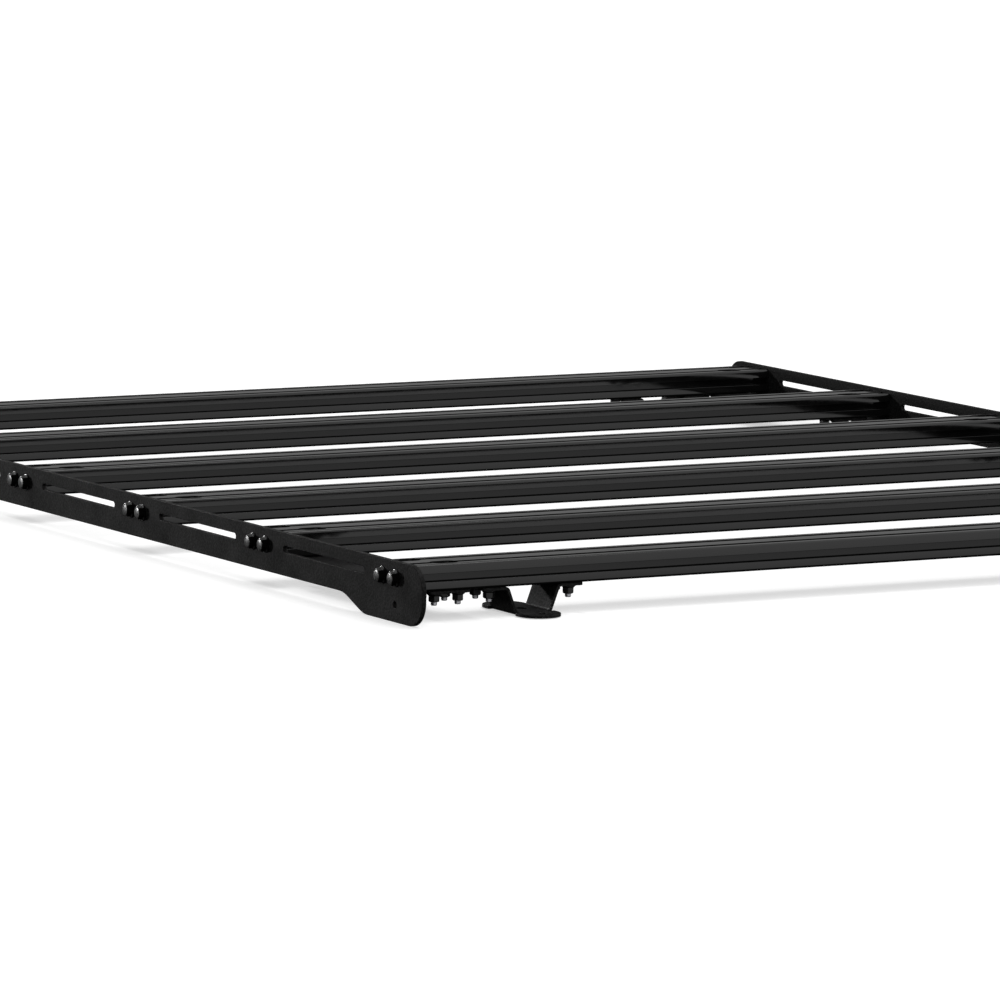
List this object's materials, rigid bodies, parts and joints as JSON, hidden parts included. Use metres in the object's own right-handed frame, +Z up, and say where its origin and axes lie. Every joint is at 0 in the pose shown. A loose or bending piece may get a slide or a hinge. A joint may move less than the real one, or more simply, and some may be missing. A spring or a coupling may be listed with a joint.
{
  "type": "flat roof cargo rack",
  "caption": "Flat roof cargo rack of T-slotted crossbars bolted between slotted side plates, on hat-shaped feet, with strap plates under the end bars.",
  "frame": {"origin": "middle of the rack, level with the lowest edge of the side plates", "axes": "+X along the crossbars, +Y from the front bar to the rear bar along the side plates, +Z up"},
  "size_m": [1.212, 1.395, 0.0573],
  "materials": {
    "side_plates": "fine-textured black powder coat on cut aluminium plate",
    "crossbars": "satin black anodised extrusion",
    "brackets": "fine-textured black powder coat on bent steel sheet",
    "bolts": "glossy black coated steel",
    "nuts": "black coated steel with brighter thread ends"
  },
  "bodies": {
    "root": {"side_plate_left": "side_plates", "side_plate_right": "side_plates", "crossbar_1": "crossbars", "crossbar_2": "crossbars", "crossbar_3": "crossbars", "crossbar_4": "crossbars", "crossbar_5": "crossbars", "crossbar_6": "crossbars", "end_bolt_left_1_front": "bolts", "end_bolt_left_1_rear": "bolts", "end_bolt_left_2_front": "bolts", "end_bolt_left_2_rear": "bolts", "end_bolt_left_3_front": "bolts", "end_bolt_left_3_rear": "bolts", "end_bolt_left_4_front": "bolts", "end_bolt_left_4_rear": "bolts", "end_bolt_left_5_front": "bolts", "end_bolt_left_5_rear": "bolts", "end_bolt_left_6_front": "bolts", "end_bolt_left_6_rear": "bolts", "end_bolt_right_1_front": "bolts", "end_bolt_right_1_rear": "bolts", "end_bolt_right_2_front": "bolts", "end_bolt_right_2_rear": "bolts", "end_bolt_right_3_front": "bolts", "end_bolt_right_3_rear": "bolts", "end_bolt_right_4_front": "bolts", "end_bolt_right_4_rear": "bolts", "end_bolt_right_5_front": "bolts", "end_bolt_right_5_rear": "bolts", "end_bolt_right_6_front": "bolts", "end_bolt_right_6_rear": "bolts", "foot_front_left": "brackets", "foot_t_bolt_front_left_1": "nuts", "foot_t_bolt_front_left_2": "nuts", "foot_t_bolt_front_left_3": "nuts", "foot_t_bolt_front_left_4": "nuts", "foot_front_right": "brackets", "foot_t_bolt_front_right_1": "nuts", "foot_t_bolt_front_right_2": "nuts", "foot_t_bolt_front_right_3": "nuts", "foot_t_bolt_front_right_4": "nuts", "foot_rear_left": "brackets", "foot_t_bolt_rear_left_1": "nuts", "foot_t_bolt_rear_left_2": "nuts", "foot_t_bolt_rear_left_3": "nuts", "foot_t_bolt_rear_left_4": "nuts", "foot_rear_right": "brackets", "foot_t_bolt_rear_right_1": "nuts", "foot_t_bolt_rear_right_2": "nuts", "foot_t_bolt_rear_right_3": "nuts", "foot_t_bolt_rear_right_4": "nuts", "strap_plate_front_left": "brackets", "strap_plate_front_right": "brackets", "strap_plate_rear_left": "brackets", "strap_plate_rear_right": "brackets"}
  },
  "joints": []
}
